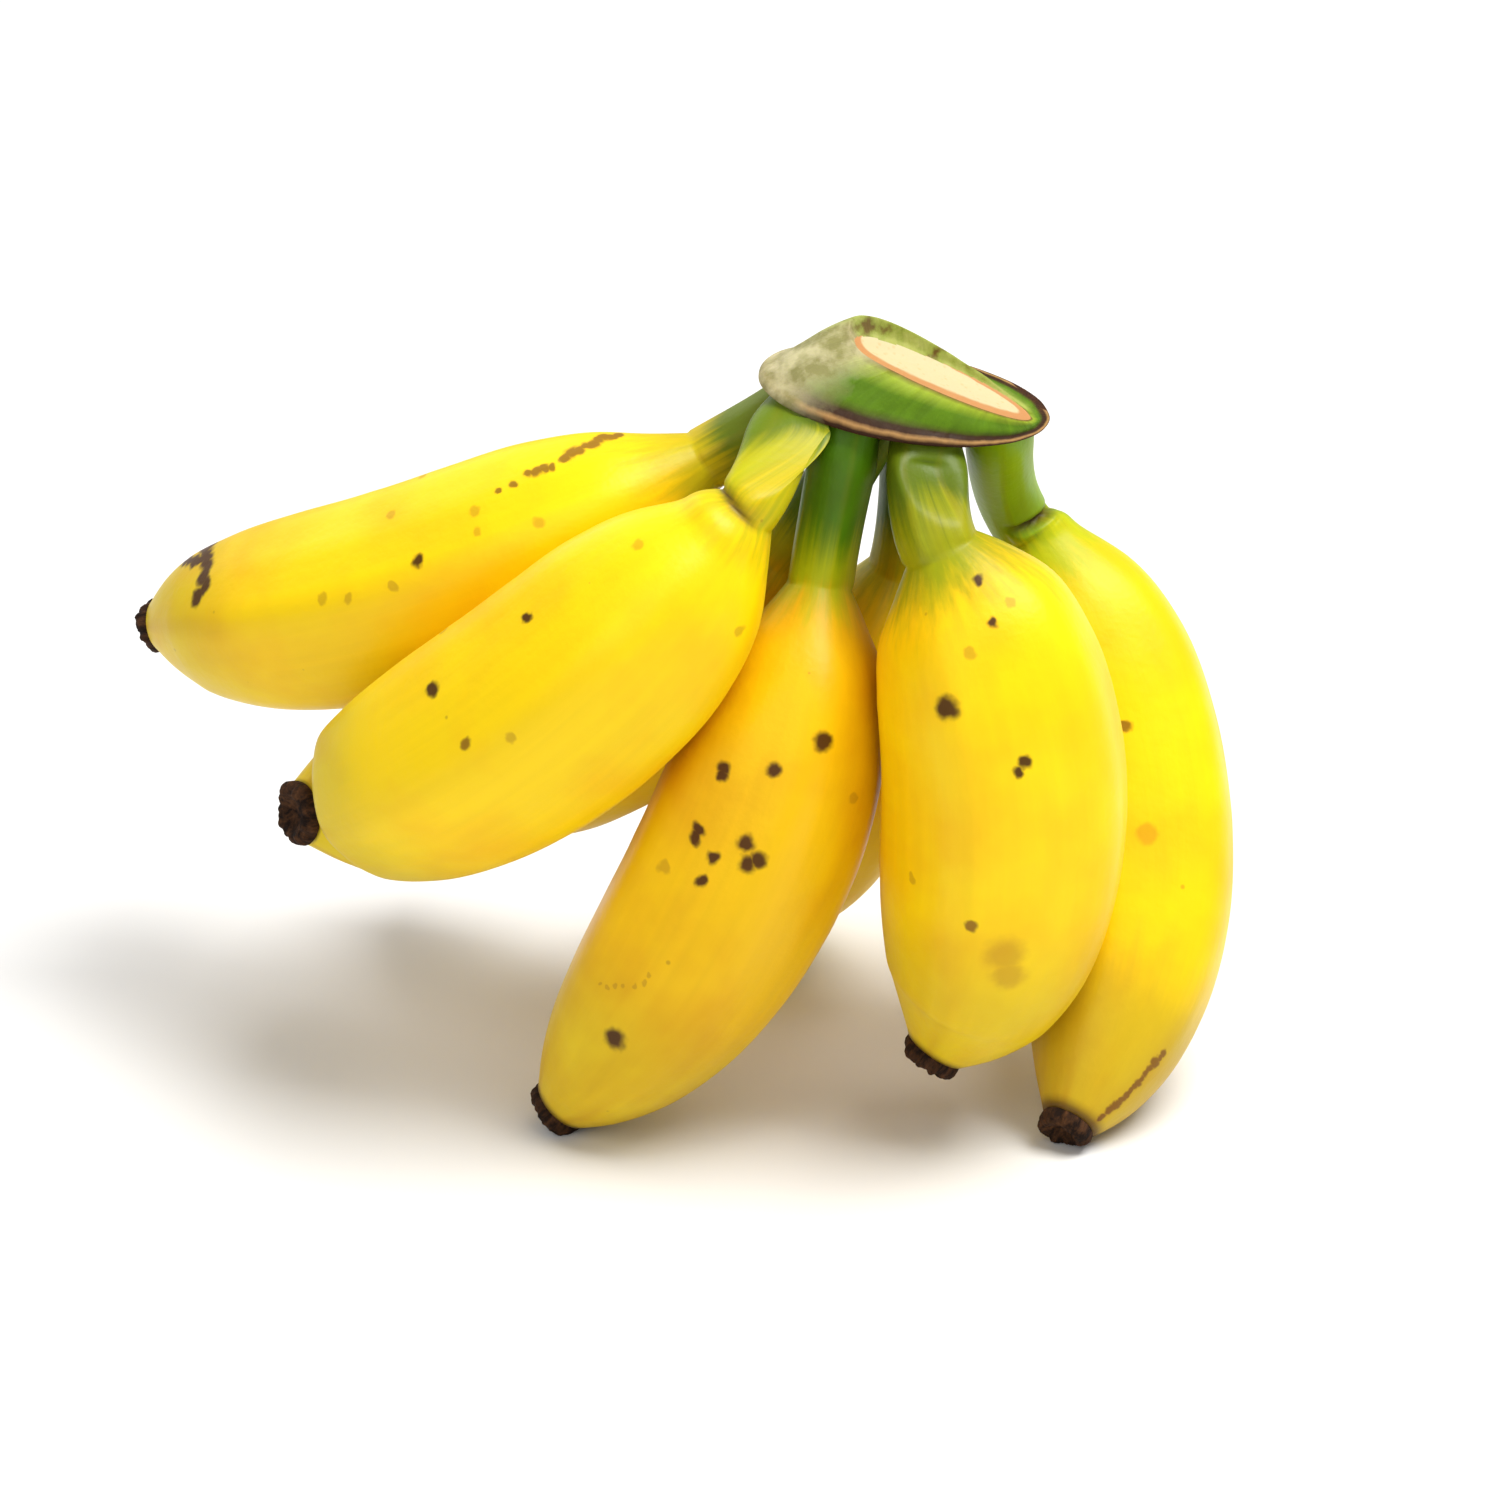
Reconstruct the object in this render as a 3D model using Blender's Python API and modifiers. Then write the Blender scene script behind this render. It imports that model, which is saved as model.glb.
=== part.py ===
"""A hand of seven baby bananas joined to one cut crown.

The hand stands unheld with its crown up, on the blossom ends of three of its fingers. Every
finger grew as one piece: a thin neck, a body of five soft sides that bends along its length, and
a short dry stub at the blossom end. Where two fingers meet they have pressed each other flat, so
each keeps to its own side of the surface that lies evenly between them. The crown is the pad of
stalk that all the necks hang from, cut across its top. Sizes are in metres and angles in degrees.
"""
import math

import bmesh
import bpy
import numpy as np
from mathutils import Matrix, Vector

# ---------------------------------------------------------------- fingers, overall
FINGER_LENGTH = 0.086      # body of a full-size finger, along its curve
FINGER_GIRTH = 0.032       # thickest width of a full-size finger
NECK_LENGTH = 0.020        # neck of a typical finger, from the crown to its shoulder
NECK_WIDTH = 0.0088        # neck where it is thinnest
NECK_FLARE = 0.0014        # extra width of the neck where it meets the crown
TIP_WIDTH = 0.0080         # dry stub at the blossom end
TIP_LENGTH = 0.0026
SOFT_EDGE = 0.018          # how far the five edges of a body stand out, as a share of its radius
GAP = 0.0003               # left between any two pieces
FOOT_SINK = 0.0004         # depth of the flat that each standing finger rests on

# ---------------------------------------------------------------- crown
RIM_LENGTH = 0.039         # underside of the crown, where the necks begin
RIM_DEPTH = 0.0216
RIM_SKEW = 0.10            # how far the long way of the underside turns towards +Y at its +X end
RIM_FALL = 0.20            # fall of the underside towards +X, per unit of length
RIM_RISE = 0.22            # rise of the underside towards +Y
CROWN_HEIGHT = 0.0070      # from the underside to the cut, above the middle of the underside
CUT_LENGTH = 0.0250        # pale face where the hand was cut from its stalk
CUT_DEPTH = 0.0106
CUT_FALL = 0.447           # fall of the cut towards +X
CUT_SHIFT = (0.0048, -0.0018)   # middle of the cut from the middle of the underside
LIP_HEIGHT = 0.0032        # skin that stands above the cut along its back
WING_DROP = 0.0024         # hollow in the slope that runs down to the -X end
RIM_BEAD = 0.0007          # corky bead around the underside

# ---------------------------------------------------------------- mesh fineness
AROUND = 20                # sides of a finger
NECK_RINGS = 8
BODY_RINGS = 21
CROWN_AROUND = 16          # sides of the crown's cage

# How the half width grows from the neck to the middle, and falls from the middle to the stub:
# share of the way along the body, share of the full growth.
SHOULDER = ((0.0, 0.0), (0.05, 0.25), (0.12, 0.60), (0.22, 0.86), (0.36, 0.98), (0.5, 1.0))
TAPER = ((0.5, 1.0), (0.64, 0.95), (0.78, 0.79), (0.88, 0.55), (0.95, 0.27), (1.0, 0.0))
# The stub: share of its length, share of its width.
STUB = ((0.25, 0.94), (0.70, 0.90), (1.0, 0.70))

# One row a finger. root: where the neck starts on the underside of the crown, as shares of half
# its length and depth. neck: azimuth, dip and share of NECK_LENGTH from root to shoulder. body:
# azimuth and dip from shoulder to tip. bend: how far the body turns. roll: which way it curls,
# turned about its own line from level. Azimuth 0 is +X and 90 is +Y; dip is down from level.
FINGERS = {
    "finger_1": dict(root=(-0.44, 0.42), neck=(165, 38, 1.19), body=(160, 23), bend=51, roll=22,
                     length=1.09, girth=0.89),
    "finger_2": dict(root=(-0.78, -0.42), neck=(246, 34, 0.87), body=(161, 40), bend=48, roll=39,
                     length=0.99, girth=0.99),
    "finger_3": dict(root=(-0.36, -0.62), neck=(181, 80, 1.20), body=(198, 63), bend=44, roll=31,
                     length=0.97, girth=0.92),
    "finger_4": dict(root=(0.15, -0.70), neck=(280, 49, 0.80), body=(305, 89), bend=58, roll=-56,
                     length=0.89, girth=1.03),
    "finger_5": dict(root=(0.66, 0.06), neck=(71, 56, 1.44), body=(277, 59), bend=76, roll=26,
                     length=1.024, girth=0.91),
    "finger_6": dict(root=(0.12, 0.54), neck=(126, 83, 1.45), body=(125, 56), bend=43, roll=73,
                     length=0.98, girth=0.95),
    "finger_7": dict(root=(-0.12, 0.20), neck=(165, 62, 1.49), body=(143, 38), bend=46, roll=51,
                     length=0.95, girth=0.82),
}

# ---------------------------------------------------------------- colours
PEEL = (0.90, 0.62, 0.02, 1.0)
STALK = (0.22, 0.36, 0.03, 1.0)


def unit(vector):
    return np.asarray(vector, float) / np.linalg.norm(vector)


def heading(azimuth, dip):
    a, d = math.radians(azimuth), math.radians(dip)
    return np.array([math.cos(a) * math.cos(d), math.sin(a) * math.cos(d), -math.sin(d)])


def along_table(table, x):
    """Reads a table of (place, value) at x along a smooth curve through its rows."""
    px, py = np.array(table, float).T
    slope = np.gradient(py, px)
    i = np.clip(np.searchsorted(px, x) - 1, 0, len(px) - 2)
    h = px[i + 1] - px[i]
    t = (x - px[i]) / h
    return ((1 + 2 * t) * (1 - t) ** 2 * py[i] + t * (1 - t) ** 2 * h * slope[i]
            + t * t * (3 - 2 * t) * py[i + 1] + t * t * (t - 1) * h * slope[i + 1])


# ---------------------------------------------------------------- crown surfaces
RIM_NORMAL = unit((RIM_FALL, -RIM_RISE, 1.0))


def rim_height(x, y):
    """Underside of the crown over the point x, y, taking its middle as the origin."""
    return -RIM_FALL * x + RIM_RISE * y


def cut_height(x, y):
    return CROWN_HEIGHT - CUT_FALL * x


# ---------------------------------------------------------------- fingers
class Finger:
    """One finger: its middle line, the radius along it, and rings of points around it."""

    def __init__(self, name, row):
        self.name = name
        u, v = row["root"]
        x = u * RIM_LENGTH / 2
        y = v * RIM_DEPTH / 2 + RIM_SKEW * x
        self.root = np.array([x, y, rim_height(x, y)]) - GAP * RIM_NORMAL
        azimuth, dip, share = row["neck"]
        neck = heading(azimuth, dip)
        neck_length = NECK_LENGTH * share
        shoulder = self.root + neck * neck_length
        line = heading(*row["body"])
        side = unit(np.cross(line, (0.0, 0.0, 1.0)))
        roll = math.radians(row["roll"])
        self.curl = math.cos(roll) * side + math.sin(roll) * np.cross(side, line)
        self.half_girth = FINGER_GIRTH / 2 * row["girth"]
        length = FINGER_LENGTH * row["length"]
        bend = math.radians(row["bend"])

        start = math.cos(bend / 2) * line - math.sin(bend / 2) * self.curl
        leave = unit(neck - 0.5 * RIM_NORMAL)
        t = np.linspace(0, 1, NECK_RINGS + 1)[:-1, None]
        pull = 0.9 * neck_length
        neck_line = ((1 + 2 * t) * (1 - t) ** 2 * self.root + t * (1 - t) ** 2 * pull * leave
                     + t * t * (3 - 2 * t) * shoulder + t * t * (t - 1) * pull * start)
        self.share = 0.5 - 0.5 * np.cos(np.pi * np.linspace(0, 1, BODY_RINGS))
        radius = length / bend
        turn = bend * (self.share[:, None] - 0.5)
        body_line = (shoulder + radius * (np.sin(turn) + math.sin(bend / 2)) * line
                     + radius * (math.cos(bend / 2) - np.cos(turn)) * self.curl)
        end = math.cos(bend / 2) * line + math.sin(bend / 2) * self.curl
        stub = np.array([[s * TIP_LENGTH] for s, _ in STUB]) * end + body_line[-1]
        self.line = np.vstack([neck_line, body_line, stub])

        tip = TIP_WIDTH / 2
        thin = NECK_WIDTH / 2
        s = self.share
        grow = thin + (self.half_girth - thin) * along_table(SHOULDER, np.minimum(s, 0.5))
        fall = tip + (self.half_girth - tip) * along_table(TAPER, np.maximum(s, 0.5))
        flare = NECK_FLARE / 2 * (1 - t[:, 0]) ** 3
        self.radius = np.concatenate([thin + flare, np.where(s < 0.5, grow, fall),
                                      [tip * w for _, w in STUB]])
        edge = np.sin(np.pi * np.clip(s, 0, 1)) ** 0.7 * SOFT_EDGE
        self.edge = np.concatenate([np.zeros(NECK_RINGS), edge, np.zeros(len(STUB))])
        self.place_rings()

    def place_rings(self):
        """Sets the directions in which each ring's points lie from the middle line."""
        ahead = np.gradient(self.line, axis=0)
        ahead /= np.linalg.norm(ahead, axis=1)[:, None]
        self.ahead = ahead
        normal = unit(self.curl - (self.curl @ ahead[0]) * ahead[0])
        angle = 2 * np.pi * np.arange(AROUND) / AROUND
        rings = []
        travelled = np.linalg.norm(self.line - self.root, axis=1)
        for k, tangent in enumerate(ahead):
            normal = unit(normal - (normal @ tangent) * tangent)
            across = np.cross(tangent, normal)
            out = np.cos(angle)[:, None] * normal + np.sin(angle)[:, None] * across
            lean = max(0.0, 1 - travelled[k] / (1.4 * NECK_WIDTH)) if k < NECK_RINGS else 0.0
            out = out - lean * np.outer(out @ RIM_NORMAL, tangent) / (ahead[0] @ RIM_NORMAL)
            rings.append(out)
        self.out = np.array(rings)
        self.reach = self.radius[:, None] * (1 + self.edge[:, None] * np.cos(5 * angle))

    def depth(self, points):
        """Distance of each point outside the finger's round form; negative inside."""
        back = self.line[0] - 0.01 * self.ahead[0]
        line = np.vstack([back, self.line])
        radius = np.concatenate([[self.radius[0]], self.radius])
        a, b = line[:-1], line[1:]
        ab = b - a
        rel = points[:, None, :] - a
        t = np.clip((rel * ab).sum(2) / (ab * ab).sum(1), 0, 1)
        away = np.linalg.norm(rel - t[..., None] * ab, axis=2)
        return (away - (radius[:-1] * (1 - t) + radius[1:] * t)).min(axis=1)

    def press(self, others):
        """Draws in each point that lies nearer another finger than this one."""
        middle = np.repeat(self.line, AROUND, axis=0)
        out = self.out.reshape(-1, 3)
        reach = self.reach.reshape(-1).copy()

        def room(length):
            points = middle + length[:, None] * out
            nearest = np.min([other.depth(points) for other in others], axis=0)
            return nearest - self.depth(points) - GAP

        short = room(reach) < 0
        low, high = np.zeros_like(reach), reach.copy()
        for _ in range(22):
            half = (low + high) / 2
            free = room(half) >= 0
            low = np.where(free, half, low)
            high = np.where(free, high, half)
        self.reach = np.where(short, low, reach).reshape(self.reach.shape)

    def points(self):
        return self.line[:, None, :] + self.reach[..., None] * self.out


# ---------------------------------------------------------------- meshes
def loft(rings):
    """A closed body through rings of equal count, each end closed by one face."""
    count, around = len(rings), len(rings[0])
    verts = [tuple(p) for ring in rings for p in ring]
    faces = [tuple(range(around))[::-1]]
    for k in range(count - 1):
        for j in range(around):
            i = (j + 1) % around
            faces.append((k * around + j, k * around + i, (k + 1) * around + i,
                          (k + 1) * around + j))
    faces.append(tuple((count - 1) * around + j for j in range(around)))
    return verts, faces


def oval(centre, half_length, half_depth):
    angle = 2 * np.pi * np.arange(CROWN_AROUND) / CROWN_AROUND
    return (centre[0] + half_length * np.cos(angle), centre[1] + half_depth * np.sin(angle), angle)


def crown_cage():
    """Rings of the crown's cage from its underside up to the cut."""
    rings = []
    # share of the height, share of the way from rim to cut outline, bead standing out
    levels = ((0.0, 0.0, -3.0), (0.0, 0.0, 0.0), (0.03, 0.0, 1.0), (0.18, 0.05, 0.6),
              (0.26, 0.14, -0.4), (0.45, 0.30, 0.0), (0.75, 0.66, 0.0), (1.0, 1.0, 0.0),
              (1.0, 1.0, -1.6), (0.98, 1.0, -4.0))
    for k, (height, inward, bead) in enumerate(levels):
        centre = (inward * CUT_SHIFT[0], inward * CUT_SHIFT[1])
        half_length = (1 - inward) * RIM_LENGTH / 2 + inward * CUT_LENGTH / 2 + bead * RIM_BEAD
        half_depth = (1 - inward) * RIM_DEPTH / 2 + inward * CUT_DEPTH / 2 + bead * RIM_BEAD
        x, y, angle = oval(centre, half_length, half_depth)
        y = y + (1 - inward) * RIM_SKEW * x
        z = (1 - height) * rim_height(x, y) + height * cut_height(x, y)
        z = z - WING_DROP * np.sin(np.pi * height) * np.clip(-np.cos(angle), 0, 1) ** 1.5
        if height > 0.5 and k != len(levels) - 1:
            back = np.clip(np.sin(angle - 0.35), 0, 1) ** 0.8
            lip = LIP_HEIGHT * back * (0.62 - 0.38 * np.cos(angle))
            z = z + lip * (1.0 if bead == 0.0 else 0.35) * min(1.0, 2 * height - 1)
        rings.append(np.stack([x, y, z], axis=1))
    return rings


def centre_of_mass(meshes):
    total, moment = 0.0, np.zeros(3)
    for verts, faces in meshes:
        p = np.asarray(verts)
        for face in faces:
            a = p[face[0]]
            for i in range(1, len(face) - 1):
                b, c = p[face[i]], p[face[i + 1]]
                volume = a @ np.cross(b, c) / 6
                total += volume
                moment += volume * (a + b + c) / 4
    return moment / total


def standing_turn(points, mass):
    """The turn that brings the three points the hand balances on into one level plane."""
    bm = bmesh.new()
    for p in points:
        bm.verts.new(p)
    hull = bmesh.ops.convex_hull(bm, input=bm.verts)
    faces = [f for f in hull["geom"] if isinstance(f, bmesh.types.BMFace)]
    middle = Vector(mass)
    best = None
    for face in faces:
        a, b, c = (v.co for v in face.verts)
        normal = (b - a).cross(c - a).normalized()
        if normal.dot(a - middle) < 0:
            normal.negate()
        foot = middle + normal * normal.dot(a - middle)
        sides = [(q - p).cross(foot - p).dot(normal) for p, q in ((a, b), (b, c), (c, a))]
        inside = all(s >= 0 for s in sides) or all(s <= 0 for s in sides)
        if inside and (best is None or normal.z < best.z):
            best = normal
    bm.free()
    return best.rotation_difference(Vector((0, 0, -1))).to_matrix()


def material(name, colour, roughness):
    mat = bpy.data.materials.new(name)
    mat.use_nodes = True
    shader = mat.node_tree.nodes["Principled BSDF"]
    shader.inputs["Base Color"].default_value = colour
    shader.inputs["Roughness"].default_value = roughness
    shader.inputs["Metallic"].default_value = 0.0
    mat.diffuse_color = colour
    return mat


def add_object(name, verts, faces, origin, collection, mat):
    mesh = bpy.data.meshes.new(name)
    mesh.from_pydata([tuple(np.asarray(v) - origin) for v in verts], [], faces)
    obj = bpy.data.objects.new(name, mesh)
    obj.location = origin
    collection.objects.link(obj)
    mesh.materials.append(mat)
    return obj


def close_and_shade(obj, floor):
    """Trims the mesh at the floor, fills the cut flat, and shades it smooth."""
    bm = bmesh.new()
    bm.from_mesh(obj.data)
    if min(v.co.z for v in bm.verts) < floor:
        geom = bm.verts[:] + bm.edges[:] + bm.faces[:]
        bmesh.ops.bisect_plane(bm, geom=geom, dist=0.00002, plane_co=(0, 0, floor),
                               plane_no=(0, 0, -1), clear_outer=True)
        bmesh.ops.holes_fill(bm, edges=[e for e in bm.edges if e.is_boundary])
    bmesh.ops.remove_doubles(bm, verts=bm.verts, dist=0.00002)
    bmesh.ops.recalc_face_normals(bm, faces=bm.faces)
    for face in bm.faces:
        face.smooth = len(face.verts) < AROUND / 2
    bm.to_mesh(obj.data)
    bm.free()


def main():
    for obj in list(bpy.data.objects):
        bpy.data.objects.remove(obj, do_unlink=True)
    collection = bpy.data.collections.new("banana_hand")
    bpy.context.scene.collection.children.link(collection)

    fingers = [Finger(name, row) for name, row in FINGERS.items()]
    for finger in fingers:
        finger.press([other for other in fingers if other is not finger])
    meshes = {finger.name: loft(finger.points()) for finger in fingers}
    meshes["crown"] = loft(crown_cage())

    every = np.vstack([np.asarray(verts) for verts, _ in meshes.values()])
    turn = np.array(standing_turn(every, centre_of_mass(meshes.values())))
    turned = every @ turn.T
    low, high = turned.min(axis=0), turned.max(axis=0)
    shift = np.array([-(low[0] + high[0]) / 2, -(low[1] + high[1]) / 2, -low[2] - FOOT_SINK])

    crown = None
    for name in ["crown"] + [finger.name for finger in fingers]:
        verts, faces = meshes[name]
        placed = np.asarray(verts) @ turn.T + shift
        if name == "crown":
            origin = turn @ np.zeros(3) + shift
            mat = material("Crown skin", STALK, 0.6)
            crown = add_object(name, placed, faces, origin, collection, mat)
            smooth = crown.modifiers.new("Rounded form", "SUBSURF")
            smooth.levels = 1
            smooth.render_levels = 1
            close_and_shade(crown, -1.0)
            continue
        finger = next(f for f in fingers if f.name == name)
        origin = turn @ finger.root + shift
        mat = material("Banana peel " + name[-1], PEEL, 0.45)
        obj = add_object(name, placed, faces, origin, collection, mat)
        close_and_shade(obj, -origin[2])
        obj.parent = crown
        obj.matrix_parent_inverse = Matrix.Translation(-crown.location)


main()
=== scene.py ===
"""A hand of seven baby bananas, dressed over its CAD model.

The hand stands on the blossom ends of three fingers with its cut crown up. Every finger is grown
again here from the same sizes as the CAD, with finer rings, its own ripeness and its own marks.
Sizes are in metres and angles in degrees unless a name says otherwise.
"""
from __future__ import annotations

import logging
import math
from dataclasses import dataclass, field
from enum import Enum
from typing import Any, Sequence

import bpy
import numpy as np
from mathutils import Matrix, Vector


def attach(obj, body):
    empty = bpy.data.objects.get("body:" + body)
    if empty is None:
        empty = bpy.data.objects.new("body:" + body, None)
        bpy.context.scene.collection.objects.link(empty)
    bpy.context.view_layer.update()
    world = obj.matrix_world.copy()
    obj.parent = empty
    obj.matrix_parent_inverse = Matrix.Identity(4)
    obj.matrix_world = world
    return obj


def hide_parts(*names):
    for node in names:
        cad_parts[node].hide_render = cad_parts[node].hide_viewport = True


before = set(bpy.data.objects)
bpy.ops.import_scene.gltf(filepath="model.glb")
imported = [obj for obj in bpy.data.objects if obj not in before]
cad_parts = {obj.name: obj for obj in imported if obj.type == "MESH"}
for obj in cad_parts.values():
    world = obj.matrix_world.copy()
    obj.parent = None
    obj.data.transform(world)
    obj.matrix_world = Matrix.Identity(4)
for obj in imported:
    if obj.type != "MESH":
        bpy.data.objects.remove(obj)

LOG = logging.getLogger("banana_hand")
MM = 0.001
Table = Sequence[tuple[float, float]]


# ---------------------------------------------------------------- shared helpers
def linear(hex_colour: str) -> tuple[float, float, float, float]:
    """Turns an sRGB hex colour into linear light.

    Args:
        hex_colour: Six hex digits after a hash.

    Returns:
        Linear red, green, blue and an alpha of one.
    """
    parts = [int(hex_colour[i:i + 2], 16) / 255 for i in (1, 3, 5)]
    red, green, blue = (p / 12.92 if p <= 0.04045 else ((p + 0.055) / 1.055) ** 2.4
                        for p in parts)
    return red, green, blue, 1.0


def plug(tree: bpy.types.NodeTree, node: bpy.types.Node, values: dict[Any, Any]) -> None:
    """Links or sets a node's inputs.

    Args:
        tree: The node tree that holds the node.
        node: The node.
        values: Input name or number, with the socket, node or plain value it takes. A node
            stands for the first of its outputs that is in use.
    """
    for key, value in values.items():
        if isinstance(value, bpy.types.Node):
            value = next(output for output in value.outputs if output.enabled)
        if isinstance(value, bpy.types.NodeSocket):
            tree.links.new(value, node.inputs[key])
        else:
            node.inputs[key].default_value = value


def add(tree: bpy.types.NodeTree, kind: str, values: dict[Any, Any] | None = None,
        stops: Sequence[tuple[float, str]] = (), **settings: Any) -> bpy.types.Node:
    """Adds one shader node with its settings and inputs.

    Args:
        tree: The node tree that takes the node.
        kind: The node's type name, without its prefix.
        values: What its inputs take, as plug reads them.
        stops: Place and hex colour of each stop, for a colour ramp.
        **settings: The node's own properties.

    Returns:
        The new node.
    """
    node = tree.nodes.new("ShaderNode" + kind)
    for name, value in settings.items():
        setattr(node, name, value)
    for number, (place, colour) in enumerate(stops):
        elements = node.color_ramp.elements
        stop = elements[number] if number < 2 else elements.new(place)
        stop.position = place
        stop.color = linear(colour)
    plug(tree, node, values or {})
    return node


def new_material(name: str) -> tuple[bpy.types.Material, bpy.types.NodeTree, bpy.types.Node]:
    """Makes a material with only its shader and output.

    Args:
        name: The material's name.

    Returns:
        The material, its node tree and its shader.
    """
    material = bpy.data.materials.new(name)
    material.use_nodes = True
    return material, material.node_tree, material.node_tree.nodes["Principled BSDF"]


def unit(vector: Any) -> np.ndarray:
    """Scales a vector to length one."""
    return np.asarray(vector, float) / np.linalg.norm(vector)


def heading(azimuth: float, dip: float) -> np.ndarray:
    """Gives the direction at an azimuth from +X and a dip below level."""
    a, d = math.radians(azimuth), math.radians(dip)
    return np.array([math.cos(a) * math.cos(d), math.sin(a) * math.cos(d), -math.sin(d)])


def along_table(table: Table, x: np.ndarray) -> np.ndarray:
    """Reads a table at many places along a smooth curve through its rows.

    Args:
        table: Rows of place and value.
        x: The places to read.

    Returns:
        The value at each place.
    """
    px, py = np.array(table, float).T
    slope = np.gradient(py, px)
    i = np.clip(np.searchsorted(px, x) - 1, 0, len(px) - 2)
    h = px[i + 1] - px[i]
    t = (x - px[i]) / h
    return ((1 + 2 * t) * (1 - t) ** 2 * py[i] + t * (1 - t) ** 2 * h * slope[i]
            + t * t * (3 - 2 * t) * py[i + 1] + t * t * (t - 1) * h * slope[i + 1])


def spline_weights(count: int, samples: int, closed: bool) -> np.ndarray:
    """Gives the cubic B-spline weights of evenly spread samples.

    Args:
        count: Number of control rows.
        samples: Number of samples.
        closed: Whether the last row joins the first.

    Returns:
        One row of weights a sample.
    """
    t = np.arange(samples) * count / samples if closed else np.linspace(-1, count, samples)
    start = np.floor(t).astype(int)
    if not closed:
        start = np.minimum(start, count - 1)
    f = t - start
    parts = ((1 - f) ** 3 / 6, (3 * f ** 3 - 6 * f ** 2 + 4) / 6,
             (-3 * f ** 3 + 3 * f ** 2 + 3 * f + 1) / 6, f ** 3 / 6)
    weights = np.zeros((samples, count))
    for step, part in enumerate(parts):
        row = start + step - 1
        row = row % count if closed else np.clip(row, 0, count - 1)
        np.add.at(weights, (np.arange(samples), row), part)
    return weights


def ripple(angle: np.ndarray, along: np.ndarray, seed: int, waves: int = 7) -> np.ndarray:
    """Gives a smooth, seeded unevenness over a tube.

    Args:
        angle: Angle around the tube, in radians.
        along: Place along the tube, from 0 to 1.
        seed: Seed of the pattern.
        waves: Number of waves added up.

    Returns:
        Heights of about -1 to 1, in the shape of angle and along together.
    """
    rng = np.random.default_rng(seed)
    total = np.zeros(np.broadcast(angle, along).shape)
    for _ in range(waves):
        turns, rate = rng.integers(1, 5), rng.uniform(4, 19)
        phase, other = rng.uniform(0, 2 * np.pi, 2)
        total += np.cos(turns * angle + phase) * np.cos(rate * along + other)
    return total / math.sqrt(waves)


def soft_least(a: np.ndarray, b: np.ndarray, soft: float) -> np.ndarray:
    """Gives the lesser of two values, with a rounded turn where they cross.

    Args:
        a: The first values.
        b: The second values.
        soft: How far apart the two are when the turn has nearly ended.

    Returns:
        The values, each a little below the lesser one near the turn.
    """
    return np.minimum(a, b) - soft * np.log1p(np.exp(-np.abs(a - b) / soft))


def mesh_of_rings(name: str, rings: np.ndarray) -> bpy.types.Object:
    """Builds a smooth closed body through rings of equal count.

    Args:
        name: The new piece's name.
        rings: Points, as rings by around by three.

    Returns:
        The new piece, in the scene.
    """
    count, around = rings.shape[:2]
    k, j = np.meshgrid(np.arange(count - 1), np.arange(around), indexing="ij")
    i = (j + 1) % around
    faces = np.stack([k * around + j, k * around + i, (k + 1) * around + i,
                      (k + 1) * around + j], axis=-1).reshape(-1, 4).tolist()
    faces.append(list(range(around))[::-1])
    faces.append([(count - 1) * around + n for n in range(around)])
    mesh = bpy.data.meshes.new(name)
    mesh.from_pydata(rings.reshape(-1, 3).tolist(), [], faces)
    mesh.validate()
    mesh.polygons.foreach_set("use_smooth", [True] * len(mesh.polygons))
    mesh.update()
    piece = bpy.data.objects.new(name, mesh)
    bpy.context.scene.collection.objects.link(piece)
    return piece


def write_points(piece: bpy.types.Object, name: str, values: np.ndarray) -> None:
    """Writes one number or vector a point, for the piece's material to read.

    Args:
        piece: The piece.
        name: The attribute's name.
        values: One number or one row of three a point.
    """
    flat = values.ndim == 1
    layer = piece.data.attributes.new(name, "FLOAT" if flat else "FLOAT_VECTOR", "POINT")
    layer.data.foreach_set("value" if flat else "vector",
                           np.ascontiguousarray(values, dtype=np.float32).ravel())


# ---------------------------------------------------------------- marks on the peel
class Stain(Enum):
    """Kinds of mark on the peel: hex colour, strength and softness of its edge."""

    SPOT = ("#3A1002", 0.95, 0.85)
    SCAR = ("#6A3408", 0.80, 0.70)
    FLECK = ("#A8790F", 0.50, 0.60)
    BRUISE = ("#B07A14", 0.50, 0.95)


MM_A_DEGREE = 0.2       # about how far a degree goes around a finger


@dataclass(frozen=True)
class Mark:
    """A mark at a distance past the shoulder and an angle around the finger."""

    along_mm: float
    around: float
    radius_mm: float
    stain: Stain = Stain.SPOT


def lay(stain: Stain, *rows: tuple[float, float, float]) -> tuple[Mark, ...]:
    """Lays marks of one kind, each from its row of distance, angle and radius."""
    return tuple(Mark(*row, stain) for row in rows)


def streak(places: Sequence[tuple[float, float]], radius_mm: float, stain: Stain,
           step_mm: float = 0.9) -> tuple[Mark, ...]:
    """Lays small marks along a bent line on the peel.

    Args:
        places: Corners of the line, as millimetres along and degrees around.
        radius_mm: Half width of the line.
        stain: Kind of mark.
        step_mm: Distance between marks.

    Returns:
        The marks.
    """
    marks = []
    for (s0, a0), (s1, a1) in zip(places, places[1:]):
        length = math.hypot(s1 - s0, (a1 - a0) * MM_A_DEGREE)
        count = max(1, round(length / step_mm))
        # The radius steps through five sizes, so the line's edge isn't even.
        marks += [Mark(s0 + (s1 - s0) * n / count, a0 + (a1 - a0) * n / count,
                       radius_mm * (0.85 + 0.3 * ((n * 7) % 5) / 4), stain)
                  for n in range(count + 1)]
    return tuple(marks)


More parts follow.
